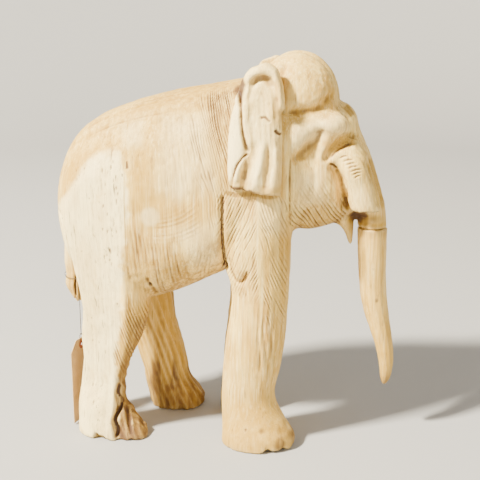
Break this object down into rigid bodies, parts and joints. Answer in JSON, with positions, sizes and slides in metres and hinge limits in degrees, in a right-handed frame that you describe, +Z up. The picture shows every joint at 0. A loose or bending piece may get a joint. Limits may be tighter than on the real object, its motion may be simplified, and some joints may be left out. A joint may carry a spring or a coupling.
{
  "type": "carved wooden elephant",
  "caption": "Standing elephant carved from dowelled and glued upright-grain wood, long trunk down, empty tusk sockets, with a blank card tag strung from the tail.",
  "frame": {"origin": "on the ground at the middle of the box that encloses the elephant", "axes": "+X the way the head faces, +Y the elephant's left side, +Z up"},
  "size_m": [0.4568, 0.1898, 0.5137],
  "materials": {
    "weathered_sapwood": "bare, bleached and checked, matt",
    "tan_flank_wood": "bare, gouged, matt",
    "cream_wood": "bare, gouged, matt",
    "straw_wood": "bare, scraped smooth, satin",
    "ear_wood": "bare, scraped smooth, matt",
    "dowel_wood": "turned, bare",
    "cotton_thread": "twisted cotton, dark brown",
    "manila_card": "blank manila card, matt",
    "red_fibre": "pressed fibre, matt"
  },
  "bodies": {
    "elephant": {"hindquarter_right": "weathered_sapwood", "hindquarter_left": "weathered_sapwood", "barrel": "tan_flank_wood", "forequarter_right": "cream_wood", "forequarter_left": "cream_wood", "head": "cream_wood", "trunk": "straw_wood", "ear_right": "ear_wood", "ear_left": "ear_wood", "tail": "cream_wood", "hind_dowels": "dowel_wood", "fore_dowels": "dowel_wood", "neck_dowels": "dowel_wood", "rump_cross_dowels": "dowel_wood", "chest_cross_dowels": "dowel_wood", "trunk_dowel": "dowel_wood", "ear_pegs_right": "dowel_wood", "ear_pegs_left": "dowel_wood", "tail_pegs": "dowel_wood", "thread_loop": "cotton_thread"},
    "tag_line": {"tag_thread": "cotton_thread"},
    "tag": {"tag_hitch": "cotton_thread", "tag_card": "manila_card", "tag_patches": "red_fibre"}
  },
  "joints": [
    {"name": "tag_swing", "type": "hinge", "parent": "elephant", "child": "tag_line", "pos_m": [-0.202, -0.016, 0.204], "axis": [0, 1, 0], "range_deg": [0, 40]},
    {"name": "tag_twist", "type": "hinge", "parent": "tag_line", "child": "tag", "pos_m": [-0.202, -0.016, 0.125], "axis": [0, 0, 1], "range_deg": [-75, 10]}
  ]
}
